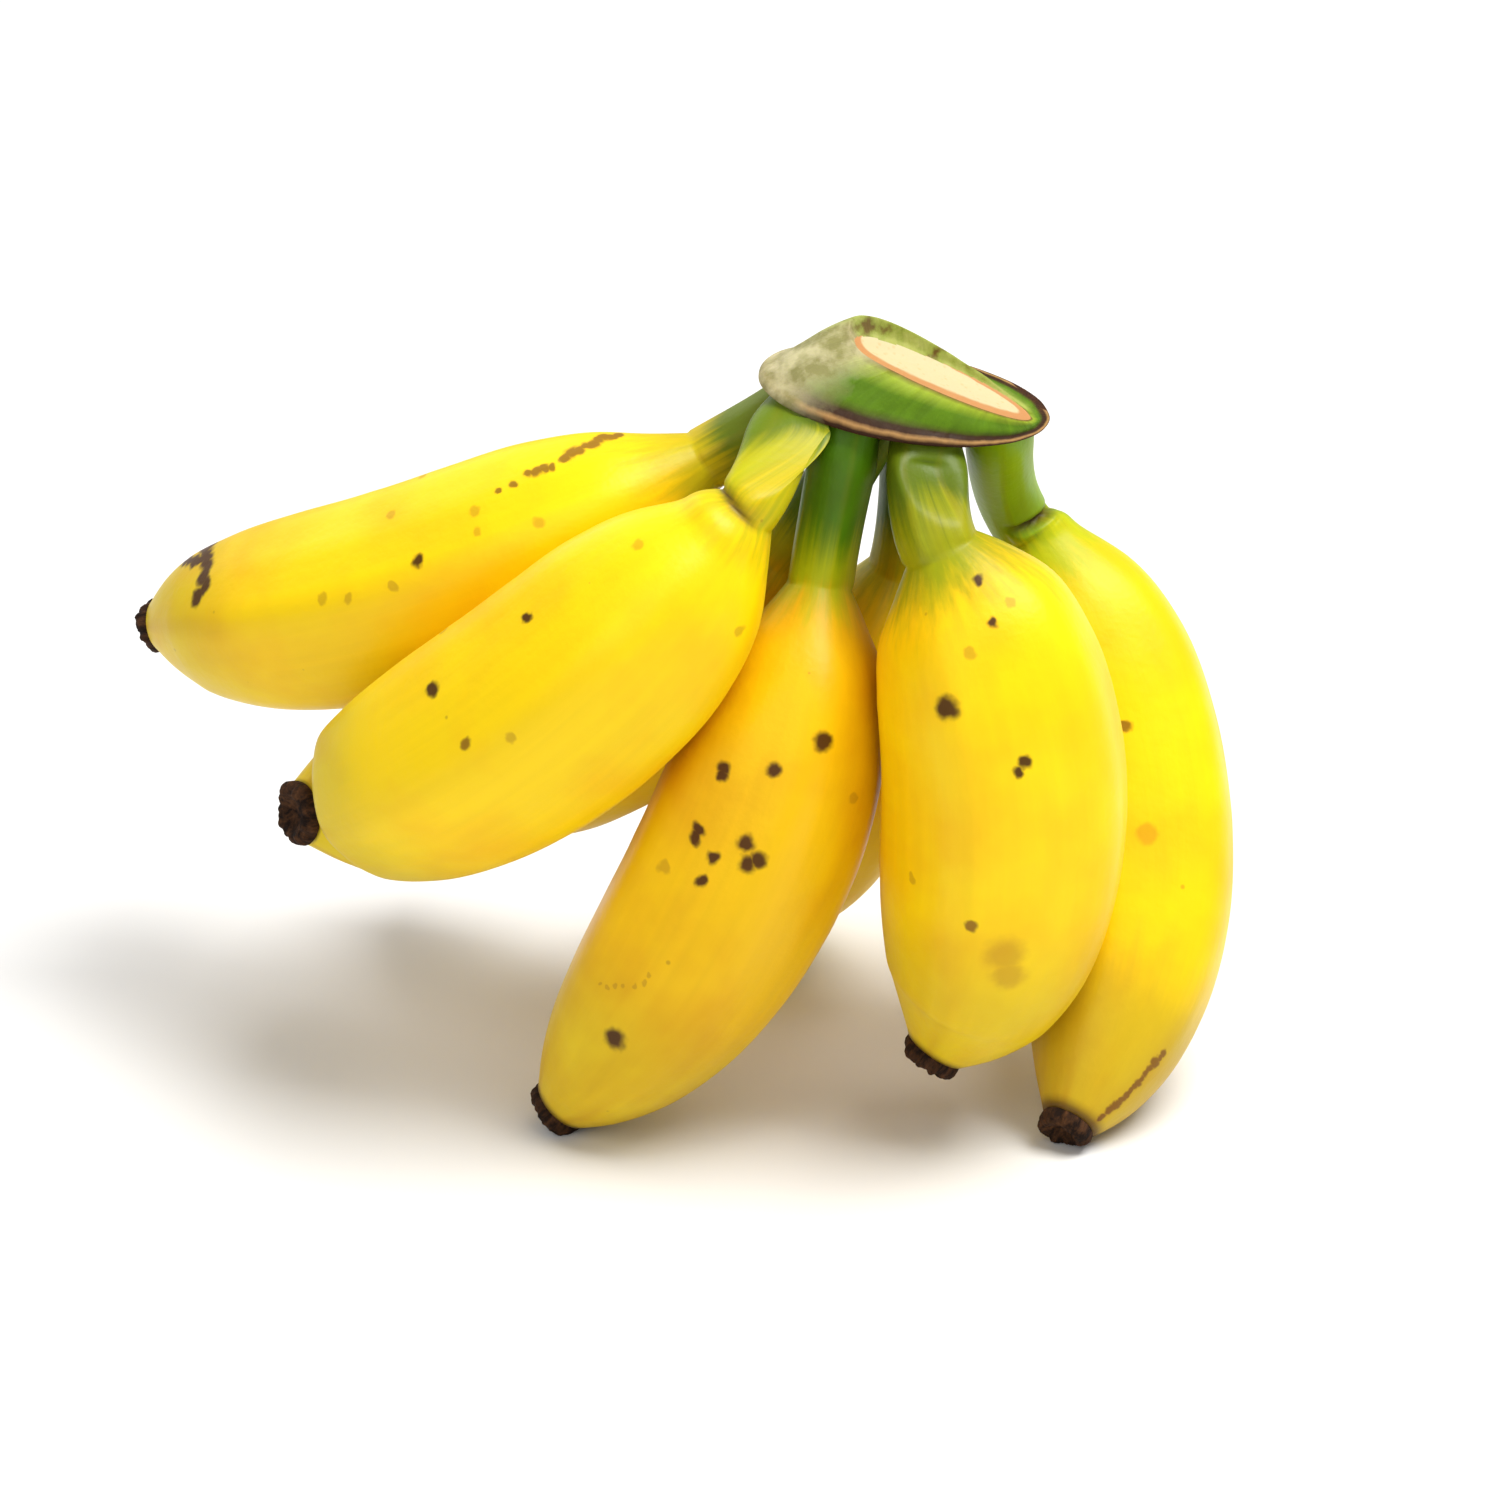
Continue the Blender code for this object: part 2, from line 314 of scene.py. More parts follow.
@dataclass(frozen=True)
class Crease:
    """A dark fold across the top of a finger, where its neck kinked."""

    along_mm: float
    around: float
    half_turn: float
    slant_mm: float = 0.0
    depth_mm: float = 0.45
    puff_mm: float = 0.35
    dark_mm: float = 0.42

    GROOVE_MM = 0.75        # half width of the groove
    PUFF_AT_MM = 2.4        # from the groove to the middle of the swelling past it
    PUFF_WIDE_MM = 1.9
    DARKEST = 0.93


# ---------------------------------------------------------------- finishes
@dataclass(frozen=True)
class Peel:
    """Ripe banana peel, waxy as it grew. A soft broad gloss over yellow with fine long fibres.

    The neck keeps its green, and the last stretch before the blossom end is a duller yellow.
    """

    neck: str = "#8FA80A"
    base: str = "#D2C80A"
    ripe: str = "#F9D202"
    deep: str = "#F2C418"
    end: str = "#DDBE0C"
    rubbed: str = "#B98408"
    freckle: str = "#8A5C10"
    dried: str = "#4A2A0A"
    green_reach_mm: float = 9.0
    roughness: float = 0.41
    fibre_mm: float = 0.9          # drawn twice as coarse as real fibres, to show at all
    fleck_mm: float = 7.0
    seed: float = 0.0

    def material(self, name: str, marks: Sequence[tuple[Mark, np.ndarray]],
                 length_mm: float) -> bpy.types.Material:
        """Makes one finger's peel material.

        Args:
            name: The material's name.
            marks: Each mark with its place on the peel.
            length_mm: Length of the finger's body.

        Returns:
            The material.
        """
        material, tree, shader = new_material(name)
        skin = add(tree, "Attribute", attribute_name="skin").outputs["Vector"]
        place = add(tree, "TexCoord").outputs["Object"]
        along = add(tree, "SeparateXYZ", {0: skin}).outputs["Z"]
        broad = add(tree, "TexNoise", {
            "Vector": skin, "W": self.seed, "Scale": 55.0, "Detail": 3.0, "Roughness": 0.55},
            noise_dimensions="4D")
        long_way = add(tree, "VectorMath", {0: skin, 1: (1.0, 1.0, 0.035)}, operation="MULTIPLY")
        fibres = add(tree, "TexNoise", {
            "Vector": long_way, "W": self.seed + 3.0, "Scale": 0.5 / (self.fibre_mm * MM),
            "Detail": 3.0, "Roughness": 0.6}, noise_dimensions="4D")

        # Ripeness: green at the neck, yellow over the body, duller by the blossom end.
        wander = add(tree, "Math", {0: broad, 1: 0.012, 2: -0.006}, operation="MULTIPLY_ADD")
        comb = add(tree, "Math", {0: fibres, 1: 0.010, 2: wander}, operation="MULTIPLY_ADD")
        shifted = add(tree, "Math", {0: along, 1: comb}, operation="ADD")
        lead_mm = 30.0                 # the colours start this far up the neck
        span = (length_mm + lead_mm) * MM
        ripeness = add(tree, "MapRange", {
            "Value": shifted, "From Min": -lead_mm * MM, "From Max": span - lead_mm * MM})

        def at(mm: float) -> float:
            """Gives the ramp place of a distance past the shoulder."""
            return min(1.0, max(0.0, (mm + lead_mm) * MM / span))

        reach = self.green_reach_mm
        ramp = add(tree, "ValToRGB", {"Fac": ripeness}, stops=(
            (at(reach - 26), self.neck), (1.0, self.end), (at(reach - 12), self.neck),
            (at(reach - 4), self.base), (at(reach + 6), self.ripe),
            (at(length_mm - 26), self.ripe), (at(length_mm - 9), self.end)))
        ramp.color_ramp.interpolation = "EASE"

        # Deeper gold lies in wide soft patches, as the wax and ripeness vary.
        patch = add(tree, "MapRange", {
            "Value": broad, "From Min": 0.42, "From Max": 0.72, "To Max": 0.50})
        colour = add(tree, "Mix", {
            0: patch, 6: ramp, 7: linear(self.deep)}, data_type="RGBA", blend_type="MULTIPLY")
        thread = add(tree, "MapRange", {
            "Value": fibres, "From Min": 0.35, "From Max": 0.70, "To Min": 0.965, "To Max": 1.02})
        colour = add(tree, "VectorMath", {0: colour, "Scale": thread}, operation="SCALE")

        # The five long edges are rubbed a little browner than the faces between them.
        ridge = add(tree, "Attribute", attribute_name="ridge").outputs["Fac"]
        worn = add(tree, "Math", {0: ridge, 1: fibres}, operation="MULTIPLY")
        colour = add(tree, "Mix", {0: worn, 6: colour, 7: linear(self.rubbed)}, data_type="RGBA")

        # Pin-prick flecks of brown, about one in every fleck_mm.
        cells = add(tree, "TexVoronoi", {"Vector": place, "Scale": 1.0 / (self.fleck_mm * MM)})
        tone = add(tree, "SeparateColor", {0: cells.outputs["Color"]})
        size = add(tree, "Math", {0: tone, 1: 0.075, 2: -0.012}, operation="MULTIPLY_ADD")
        inside = add(tree, "Math", {0: size, 1: cells}, operation="SUBTRACT")
        fleck = add(tree, "MapRange", {
            "Value": inside, "From Min": 0.0, "From Max": 0.03, "To Max": 0.45})
        colour = add(tree, "Mix", {
            0: fleck, 6: colour, 7: linear(self.freckle)}, data_type="RGBA")

        # Marks: each is a ragged round, and a scar is a row of them.
        rough_edge = add(tree, "TexNoise", {"Vector": place, "Scale": 520.0, "Detail": 2.0})
        centred = add(tree, "VectorMath", {
            0: rough_edge.outputs["Color"], 1: (0.5, 0.5, 0.5)}, operation="SUBTRACT")
        push = add(tree, "VectorMath", {0: centred, "Scale": 0.0016}, operation="SCALE")
        ragged = add(tree, "VectorMath", {0: place, 1: push}, operation="ADD")
        for stain in Stain:
            tint, strength, soft = stain.value
            found = None
            for mark, centre in (m for m in marks if m[0].stain is stain):
                radius = mark.radius_mm * MM
                away = add(tree, "VectorMath", {
                    0: ragged, 1: tuple(float(c) for c in centre)}, operation="DISTANCE")
                spot = add(tree, "MapRange", {
                    "Value": away, "From Min": radius * (1 + soft / 2),
                    "From Max": radius * (1 - soft / 2), "To Max": strength},
                    interpolation_type="SMOOTHSTEP")
                found = spot if found is None else add(
                    tree, "Math", {0: found, 1: spot}, operation="MAXIMUM")
            if found is not None:
                colour = add(tree, "Mix", {
                    0: found, 6: colour, 7: linear(tint)}, data_type="RGBA")

        # Folds, and the dry edge around the blossom end, are one dark brown.
        fold = add(tree, "Attribute", attribute_name="fold").outputs["Fac"]
        colour = add(tree, "Mix", {0: fold, 6: colour, 7: linear(self.dried)}, data_type="RGBA")

        gloss = add(tree, "MapRange", {
            "Value": broad, "From Min": 0.3, "From Max": 0.7, "To Min": self.roughness - 0.06,
            "To Max": self.roughness + 0.08})
        pores = add(tree, "TexNoise", {"Vector": place, "Scale": 900.0, "Detail": 2.0})
        grain = add(tree, "Math", {0: fibres, 1: 0.7, 2: pores}, operation="MULTIPLY_ADD")
        relief = add(tree, "Bump", {"Strength": 0.22, "Distance": 0.00025, "Height": grain})
        plug(tree, shader, {
            "Base Color": colour, "Roughness": gloss, "Normal": relief, "IOR": 1.45,
            "Metallic": 0.0, "Specular IOR Level": 0.24, "Subsurface Weight": 0.05,
            "Subsurface Radius": (1.0, 0.55, 0.08), "Subsurface Scale": 0.0022,
            "Coat Weight": 0.02, "Coat Roughness": 0.28})
        return material


@dataclass(frozen=True)
class DriedStub:
    """Withered blossom end: dead fibre, split as it dried. Nearly black with paler torn ends."""

    dark: str = "#1C0F08"
    torn: str = "#5A3A22"
    roughness: float = 0.88
    fibre_mm: float = 0.5

    def material(self, name: str) -> bpy.types.Material:
        """Makes the stub's material.

        Args:
            name: The material's name.

        Returns:
            The material.
        """
        material, tree, shader = new_material(name)
        skin = add(tree, "Attribute", attribute_name="skin").outputs["Vector"]
        drawn = add(tree, "VectorMath", {0: skin, 1: (1.0, 1.0, 0.25)}, operation="MULTIPLY")
        strands = add(tree, "TexNoise", {
            "Vector": drawn, "Scale": 0.5 / (self.fibre_mm * MM), "Detail": 4.0,
            "Roughness": 0.65})
        ramp = add(tree, "ValToRGB", {"Fac": strands},
                   stops=((0.42, self.dark), (0.74, self.torn)))
        relief = add(tree, "Bump", {"Strength": 0.8, "Distance": 0.0006, "Height": strands})
        plug(tree, shader, {
            "Base Color": ramp, "Normal": relief, "Roughness": self.roughness, "IOR": 1.45,
            "Specular IOR Level": 0.20})
        return material


@dataclass(frozen=True)
class CrownSkin:
    """Skin of the crown: green rind over fibre, drying from its edges. Matt, with corky brown,
    and painted shade just above the rim.
    """

    green: str = "#54760A"
    pale: str = "#93A62A"
    cork: str = "#C4BA90"
    cork_dark: str = "#8D8656"
    rim: str = "#341A08"
    tan: str = "#A67E4C"
    # painted shade: the dark band just above the rim, where the crown's lower wall is in shade
    shade: str = "#35220A"         # just above the rim
    olive: str = "#4A5A0E"
    top: str = "#6F5A22"           # at the cut
    lip: tuple[str, str, str] = ("#5A4214", "#8B9A3A", "#A9B05A")     # blots to bare skin
    roughness: float = 0.56
    fibre_mm: float = 0.8          # drawn coarser than the real strands, to show at all

    def material(self, name: str) -> bpy.types.Material:
        """Makes the skin's material.

        Args:
            name: The material's name.

        Returns:
            The material.
        """
        material, tree, shader = new_material(name)
        site = add(tree, "Attribute", attribute_name="site").outputs["Vector"]
        place = add(tree, "TexCoord").outputs["Object"]
        apart = add(tree, "SeparateXYZ", {0: site})
        blots = add(tree, "TexNoise", {
            "Vector": place, "Scale": 260.0, "Detail": 4.0, "Roughness": 0.6})
        upright = add(tree, "VectorMath", {0: site, 1: (1.0, 1.0, 0.10)}, operation="MULTIPLY")
        strands = add(tree, "TexNoise", {
            "Vector": upright, "Scale": 8.0 / self.fibre_mm, "Detail": 3.0})
        wave = add(tree, "Math", {0: blots, 1: 0.05, 2: -0.025}, operation="MULTIPLY_ADD")
        level = add(tree, "Math", {0: apart.outputs["Z"], 1: wave}, operation="ADD")
        # The ramp darkens towards the bottom; its shade stop is painted shade on the crown's
        # lower wall.
        body = add(tree, "ValToRGB", {"Fac": level}, stops=(
            (0.0, self.rim), (1.0, self.top), (0.085, self.rim), (0.120, self.tan),
            (0.150, self.rim), (0.200, self.shade), (0.26, self.olive), (0.36, self.green),
            (0.66, self.green), (0.90, self.pale)))
        thread = add(tree, "MapRange", {
            "Value": strands, "From Min": 0.3, "From Max": 0.7, "To Min": 0.80, "To Max": 1.12})
        colour = add(tree, "VectorMath", {0: body, "Scale": thread}, operation="SCALE")

        # The end towards -X and the lip behind the cut have dried to grey-olive cork.
        edge = add(tree, "Math", {
            0: blots, 1: 0.5, 2: apart.outputs["X"]}, operation="MULTIPLY_ADD")
        wing = add(tree, "MapRange", {
            "Value": edge, "From Min": -0.30, "From Max": -0.62, "To Max": 0.9})
        above = add(tree, "MapRange", {
            "Value": apart.outputs["Z"], "From Min": 0.00, "From Max": 0.06})
        corky = add(tree, "Math", {0: wing, 1: above}, operation="MULTIPLY")
        cork = add(tree, "ValToRGB", {"Fac": blots},
                   stops=((0.38, self.cork_dark), (0.62, self.cork)))
        colour = add(tree, "Mix", {0: corky, 6: colour, 7: cork}, data_type="RGBA")
        behind = add(tree, "MapRange", {
            "Value": apart.outputs["Y"], "From Min": 0.05, "From Max": 0.35})
        high = add(tree, "MapRange", {
            "Value": apart.outputs["Z"], "From Min": 0.45, "From Max": 0.8})
        lip = add(tree, "Math", {0: behind, 1: high}, operation="MULTIPLY")
        lip_part = add(tree, "Math", {0: lip, 1: 0.75}, operation="MULTIPLY")
        lip_colour = add(tree, "ValToRGB", {"Fac": blots}, stops=(
            (0.34, self.lip[0]), (0.60, self.lip[2]), (0.46, self.lip[1])))
        colour = add(tree, "Mix", {0: lip_part, 6: colour, 7: lip_colour}, data_type="RGBA")
        gloss = add(tree, "MapRange", {
            "Value": blots, "From Min": 0.3, "From Max": 0.7, "To Min": self.roughness - 0.08,
            "To Max": self.roughness + 0.14})
        height = add(tree, "Math", {0: strands, 1: blots}, operation="ADD")
        relief = add(tree, "Bump", {"Strength": 0.5, "Distance": 0.0005, "Height": height})
        plug(tree, shader, {
            "Base Color": colour, "Roughness": gloss, "Normal": relief, "IOR": 1.45,
            "Specular IOR Level": 0.20, "Subsurface Weight": 0.06,
            "Subsurface Radius": (0.6, 1.0, 0.15), "Subsurface Scale": 0.0015})
        return material


@dataclass(frozen=True)
class CutPith:
    """Knife-cut stalk: pale wet pith with fibre ends. Cream, browning pink at its lower edge."""

    cream: str = "#C6B98E"
    fibre: str = "#C9A873"
    blush: str = "#B8763A"
    roughness: float = 0.62
    bundle_mm: float = 1.1

    def material(self, name: str) -> bpy.types.Material:
        """Makes the cut face's material.

        Args:
            name: The material's name.

        Returns:
            The material.
        """
        material, tree, shader = new_material(name)
        site = add(tree, "Attribute", attribute_name="site").outputs["Vector"]
        place = add(tree, "TexCoord").outputs["Object"]
        apart = add(tree, "SeparateXYZ", {0: site})
        clouds = add(tree, "TexNoise", {"Vector": place, "Scale": 420.0, "Detail": 4.0})
        bundles = add(tree, "TexVoronoi", {"Vector": place, "Scale": 1.0 / (self.bundle_mm * MM)})
        dots = add(tree, "MapRange", {
            "Value": bundles, "From Min": 0.30, "From Max": 0.12, "To Max": 0.55})
        base = add(tree, "Mix", {
            0: dots, 6: linear(self.cream), 7: linear(self.fibre)}, data_type="RGBA")
        # Browning starts at the skin and is widest along the lower, front edge.
        front = add(tree, "MapRange", {
            "Value": apart.outputs["Y"], "From Min": 0.45, "From Max": -0.45, "To Min": 0.10,
            "To Max": 0.50})
        inner = add(tree, "Math", {0: apart.outputs["Z"], 1: -1.06}, operation="ADD")
        ragged = add(tree, "Math", {0: clouds, 1: -0.22, 2: inner}, operation="MULTIPLY_ADD")
        depth = add(tree, "Math", {0: ragged, 1: front}, operation="DIVIDE")
        brown = add(tree, "MapRange", {
            "Value": depth, "From Min": 1.05, "From Max": 0.7, "To Max": 0.85})
        colour = add(tree, "Mix", {0: brown, 6: base, 7: linear(self.blush)}, data_type="RGBA")
        relief = add(tree, "Bump", {"Strength": 0.5, "Distance": 0.0004, "Height": clouds})
        plug(tree, shader, {
            "Base Color": colour, "Normal": relief, "Roughness": self.roughness, "IOR": 1.38,
            "Subsurface Weight": 0.15, "Subsurface Radius": (1.0, 0.8, 0.5),
            "Subsurface Scale": 0.002})
        return material


@dataclass(frozen=True)
class StudioPaper:
    """White background paper, rolled out. Matt and near white, with a faint tooth."""

    white: str = "#E6E6E6"
    roughness: float = 0.9
    tooth_mm: float = 1.5

    def material(self, name: str) -> bpy.types.Material:
        """Makes the paper's material.

        Args:
            name: The material's name.

        Returns:
            The material.
        """
        material, tree, shader = new_material(name)
        place = add(tree, "TexCoord").outputs["Object"]
        tooth = add(tree, "TexNoise", {"Vector": place, "Scale": 0.5 / (self.tooth_mm * MM)})
        shade = add(tree, "MapRange", {
            "Value": tooth, "To Min": self.roughness - 0.03, "To Max": self.roughness + 0.03})
        plug(tree, shader, {
            "Roughness": shade, "Base Color": linear(self.white), "Specular IOR Level": 0.1})
        return material


# ---------------------------------------------------------------- crown
@dataclass
class Crown:
    """The pad of stalk that every neck hangs from, cut across its top."""

    rim_length: float = 0.039
    rim_depth: float = 0.0216
    rim_skew: float = 0.10
    rim_fall: float = 0.20
    rim_rise: float = 0.22
    height: float = 0.0054
    cut_length: float = 0.0250
    cut_depth: float = 0.0106
    cut_fall: float = 0.447
    cut_shift: tuple[float, float] = (0.0048, -0.0018)
    lip_height: float = 0.0049
    wing_drop: float = 0.0003
    bead: float = 0.0007
    standing_at: tuple[float, float, float] = (0.031200, -0.006296, 0.100018)
    cage_around: int = 16
    around: int = 144
    levels: int = 84
    skin: CrownSkin = field(default_factory=CrownSkin)
    pith: CutPith = field(default_factory=CutPith)

    # Share of the height, share of the way from rim to cut, bead standing out, place on the skin.
    CAGE = ((0.0, 0.0, -3.0, 0.0), (0.0, 0.0, 0.0, 0.02), (0.03, 0.0, 1.0, 0.06),
            (0.18, 0.05, 0.6, 0.13), (0.26, 0.14, -0.4, 0.20), (0.45, 0.30, 0.0, 0.42),
            (0.75, 0.66, 0.0, 0.72), (0.97, 0.97, 0.1, 0.96), (1.0, 1.0, -0.1, 1.0),
            (1.0, 1.0, -0.7, 1.12), (0.99, 1.0, -2.0, 1.35), (0.98, 1.0, -4.2, 1.7),
            (0.975, 1.0, -7.0, 2.0))
    WING_CURVE = 1.5
    LIP_TURN = 0.35         # radians from straight behind to the lip's middle
    LIP_INSIDE = 0.35       # share of the lip's height that its inner side keeps
    PITH_FROM, PITH_BEHIND = 1.02, 0.36      # place on the skin, and more of it at the lip
    LUMP, RIB = 0.00022, 0.00010
    # How far out a neck may stand, as a share of the rim: at the underside, lost with each
    # millimetre above it down to the deepest, and won with the square below it.
    NECK_ROOM, LOST_ABOVE, DEEPEST_MM, WON_BELOW = 1.01, 0.10, 1.5, 0.085
    ROOM_TURN = 0.13
    LEAST_SHARE = 0.3       # of its distance out that a point always keeps

    @property
    def rim_normal(self) -> np.ndarray:
        """Gives the direction square to the underside."""
        return unit((self.rim_fall, -self.rim_rise, 1.0))

    def rim_height(self, x: Any, y: Any) -> Any:
        """Gives the underside's height at a place."""
        return -self.rim_fall * x + self.rim_rise * y

    def cut_height(self, x: Any) -> Any:
        """Gives the cut's height at a place."""
        return self.height - self.cut_fall * x

    def lip_share(self, angle: np.ndarray) -> np.ndarray:
        """Gives the share of the lip's height at each angle around the crown."""
        back = np.clip(np.sin(angle - self.LIP_TURN), 0, 1) ** 0.8
        return back * (0.62 - 0.38 * np.cos(angle))

    def keep_under(self, points: np.ndarray) -> np.ndarray:
        """Draws in points just below the underside, so that the rim overhangs each neck.

        Args:
            points: Points of a neck, in the hand's own frame.

        Returns:
            The points, moved level where they stood out past the rim.
        """
        x, y, z = np.moveaxis(points, -1, 0)
        ex = x / (self.rim_length / 2)
        ey = (y - self.rim_skew * x) / (self.rim_depth / 2)
        out = np.maximum(np.hypot(ex, ey), 1e-6)
        below = -points @ self.rim_normal / MM
        limit = (self.NECK_ROOM - self.LOST_ABOVE * np.clip(-below, 0, self.DEEPEST_MM)
                 + self.WON_BELOW * np.clip(below, 0, None) ** 2)
        share = soft_least(out, limit, self.ROOM_TURN)
        share = np.maximum(share, self.LEAST_SHARE * out) / out
        x = ex * share * self.rim_length / 2
        return np.stack([x, ey * share * self.rim_depth / 2 + self.rim_skew * x, z], axis=-1)

    def cage(self) -> np.ndarray:
        """Lays out the control rings from the underside to the middle of the cut.

        Returns:
            Control points, as levels by around by three.
        """
        angle = 2 * np.pi * np.arange(self.cage_around) / self.cage_around
        rings = []
        for height, inward, bead, rise in self.CAGE:
            half_length = ((1 - inward) * self.rim_length + inward * self.cut_length) / 2
            half_depth = ((1 - inward) * self.rim_depth + inward * self.cut_depth) / 2
            x = inward * self.cut_shift[0] + (half_length + bead * self.bead) * np.cos(angle)
            y = inward * self.cut_shift[1] + (half_depth + bead * self.bead) * np.sin(angle)
            y = y + (1 - inward) * self.rim_skew * x
            z = (1 - height) * self.rim_height(x, y) + height * self.cut_height(x)
            z = z - (self.wing_drop * np.sin(np.pi * height)
                     * np.clip(-np.cos(angle), 0, 1) ** self.WING_CURVE)
            # The lip stands on the upper rings, and lower on those inside it.
            if 0.5 < height and rise < 1.6:
                lip = self.lip_height * self.lip_share(angle)
                z = z + lip * (1.0 if rise <= 1.0 else self.LIP_INSIDE) * min(1.0, 2 * height - 1)
            rings.append(np.stack([x, y, z], axis=1))
        return np.array(rings)

    def build(self) -> bpy.types.Object:
        """Builds the crown and gives each part of it its material.

        Returns:
            The crown.
        """
        down = spline_weights(len(self.CAGE), self.levels, closed=False)
        about = spline_weights(self.cage_around, self.around, closed=True)
        rings = np.einsum("lc,ma,cax->lmx", down, about, self.cage())
        rise = down @ np.array([row[3] for row in self.CAGE])
        angle = 2 * np.pi * np.arange(self.around) / self.around
        # The rind is uneven and faintly ribbed, mostly level with the ground.
        outward = rings - rings.mean(axis=1, keepdims=True)
        outward[..., 2] *= 0.3
        outward /= np.maximum(np.linalg.norm(outward, axis=2, keepdims=True), 1e-6)
        onskin = np.clip((1.05 - rise) / 0.1, 0, 1) * np.clip(rise / 0.15, 0.3, 1)
        lumps = ripple(angle[None, :], 0.6 * rise[:, None], seed=41, waves=9)
        ribs = np.cos(11 * angle + 1.1) * 0.5 + np.cos(17 * angle + 0.4) * 0.5
        uneven = onskin[:, None] * (self.LUMP * lumps + self.RIB * ribs)
        rings = rings + outward * uneven[..., None]
        rings = rings + np.array(self.standing_at)
        piece = mesh_of_rings("stalk_pad", rings)
        site = np.stack(np.broadcast_arrays(np.cos(angle)[None, :], np.sin(angle)[None, :],
                                            rise[:, None]), axis=-1).reshape(-1, 3)
        write_points(piece, "site", site)
        piece.data.materials.append(self.skin.material("Stalk rind, grown"))
        piece.data.materials.append(self.pith.material("Stalk pith, knife cut"))
        # The lip shows its inner side too, so the pith starts further in behind it.
        level = site[:, 2]
        starts = self.PITH_FROM + self.PITH_BEHIND * np.tile(self.lip_share(angle), self.levels)
        for face in piece.data.polygons:
            if all(level[v] > starts[v] for v in face.vertices):
                face.material_index = 1
        return piece


# ---------------------------------------------------------------- fingers
@dataclass
class Finger:
    """One banana: a neck, a bent body with five soft edges, and a dry stub."""

    name: str
    root: tuple[float, float]
    neck: tuple[float, float, float]
    body: tuple[float, float]
    bend: float
    roll: float
    length: float
    girth: float
    peel: Peel = field(default_factory=Peel)
    stub: DriedStub = field(default_factory=DriedStub)
    marks: tuple[Mark, ...] = ()
    creases: tuple[Crease, ...] = ()
    neck_swell: float = 1.0
    nose: tuple[float, float, float] = (0.0, 0.0, 0.0)    # where the last stretch leans
    seed: int = 1

    full_length: float = 0.086
    full_girth: float = 0.032
    neck_length: float = 0.020
    neck_width: float = 0.0088
    neck_flare: float = 0.0014
    waist: float = 0.24
    tuck: float = 0.0              # how far the neck's top is set back under the crown
    tip_width: float = 0.0080
    tip_length: float = 0.0026
    gap: float = 0.0003
    edge: float = 0.040
    around: int = 80
    neck_rings: int = 40
    body_rings: int = 100

    SHOULDER = ((0.0, 0.0), (0.05, 0.25), (0.12, 0.60), (0.22, 0.86), (0.36, 0.98), (0.5, 1.0))
    TAPER = ((0.5, 1.0), (0.64, 0.95), (0.78, 0.79), (0.88, 0.55), (0.95, 0.27), (1.0, 0.0))
    NOSE_FROM = 0.86        # share of the body after which its middle line leans
    WAIST_REACH, SWELL_REACH = 0.0032, 0.010
    LEVEL_REACH = 1.4       # neck widths over which the rings turn level with the crown
    LUMPS = 0.0075
    FACE_FLAT = 0.22        # second wave that flattens the faces between the five edges
    NECK_EDGE, NECK_EDGE_REACH = 0.035, 0.02
    # Rubbing shows where the five waves stand above a level, and grows towards the tip.
    RUB_LEVEL, RUB_BODY, RUB_TIP, RUB_FROM = 0.75, 0.10, 0.55, 0.72
    # Rings let into the crown: millimetres above its underside, and share of the neck's width.
    SEAT = ((1.5, 0.60), (1.2, 0.80), (0.8, 0.92), (0.4, 0.98))
    # Rings that close the blossom end, as shares of its width.
    CLOSING, CLOSING_RISE = (0.86, 0.60), 0.0003
    PRESS_TURN = 0.0005     # roundness of the turn into a flat
    HALVINGS = 13
    THINNEST = 0.0002
    # The dark edge at the blossom end: its strength, its width and how much of that fades in.
    DRY_EDGE, DRY_WIDTH, DRY_FADE = 0.85, 0.0016, 0.0014

    def grow(self, crown: Crown) -> None:
        """Works out the middle line, the radius along it and the directions around it.

        Args:
            crown: The crown that the neck hangs from.
        """
        u, v = self.root
        x = u * crown.rim_length / 2
        y = v * crown.rim_depth / 2 + crown.rim_skew * x
        root = np.array([x, y, crown.rim_height(x, y)]) - self.gap * crown.rim_normal
        azimuth, dip, share = self.neck
        neck = heading(azimuth, dip)
        neck_length = self.neck_length * share
        shoulder = root + neck * neck_length
        line = heading(*self.body)
        side = unit(np.cross(line, (0.0, 0.0, 1.0)))
        roll = math.radians(self.roll)
        curl = math.cos(roll) * side + math.sin(roll) * np.cross(side, line)
        half_girth = self.full_girth / 2 * self.girth
        length = self.full_length * self.length
        bend = math.radians(self.bend)
        start = math.cos(bend / 2) * line - math.sin(bend / 2) * curl
        # The neck leaves the crown more steeply than it runs, and turns into the body's bend.
        leave = unit(neck - 0.5 * crown.rim_normal)
        t = np.linspace(0, 1, self.neck_rings + 1)[:-1, None]
        pull = 0.9 * neck_length
        tuck = np.array([0.0, self.tuck, self.tuck * crown.rim_rise])
        neck_line = ((1 + 2 * t) * (1 - t) ** 2 * root + t * (1 - t) ** 2 * pull * leave
                     + t * t * (3 - 2 * t) * shoulder + t * t * (t - 1) * pull * start
                     + (1 - t) ** 2 * tuck)
        # Rings gather at both ends of the body, where it changes fastest.
        even = np.linspace(0, 1, self.body_rings)
        share_along = 0.65 * (0.5 - 0.5 * np.cos(np.pi * even)) + 0.35 * even
        radius = length / bend
        turn = bend * (share_along[:, None] - 0.5)
        body_line = (shoulder + radius * (np.sin(turn) + math.sin(bend / 2)) * line
                     + radius * (math.cos(bend / 2) - np.cos(turn)) * curl)
        lean = np.clip((share_along - self.NOSE_FROM) / (1 - self.NOSE_FROM), 0, 1) ** 1.7
        body_line = body_line + lean[:, None] * np.array(self.nose)
        self.end = unit(body_line[-1] - body_line[-2])
        self.line = np.vstack([neck_line, body_line])
        self.body_length = length

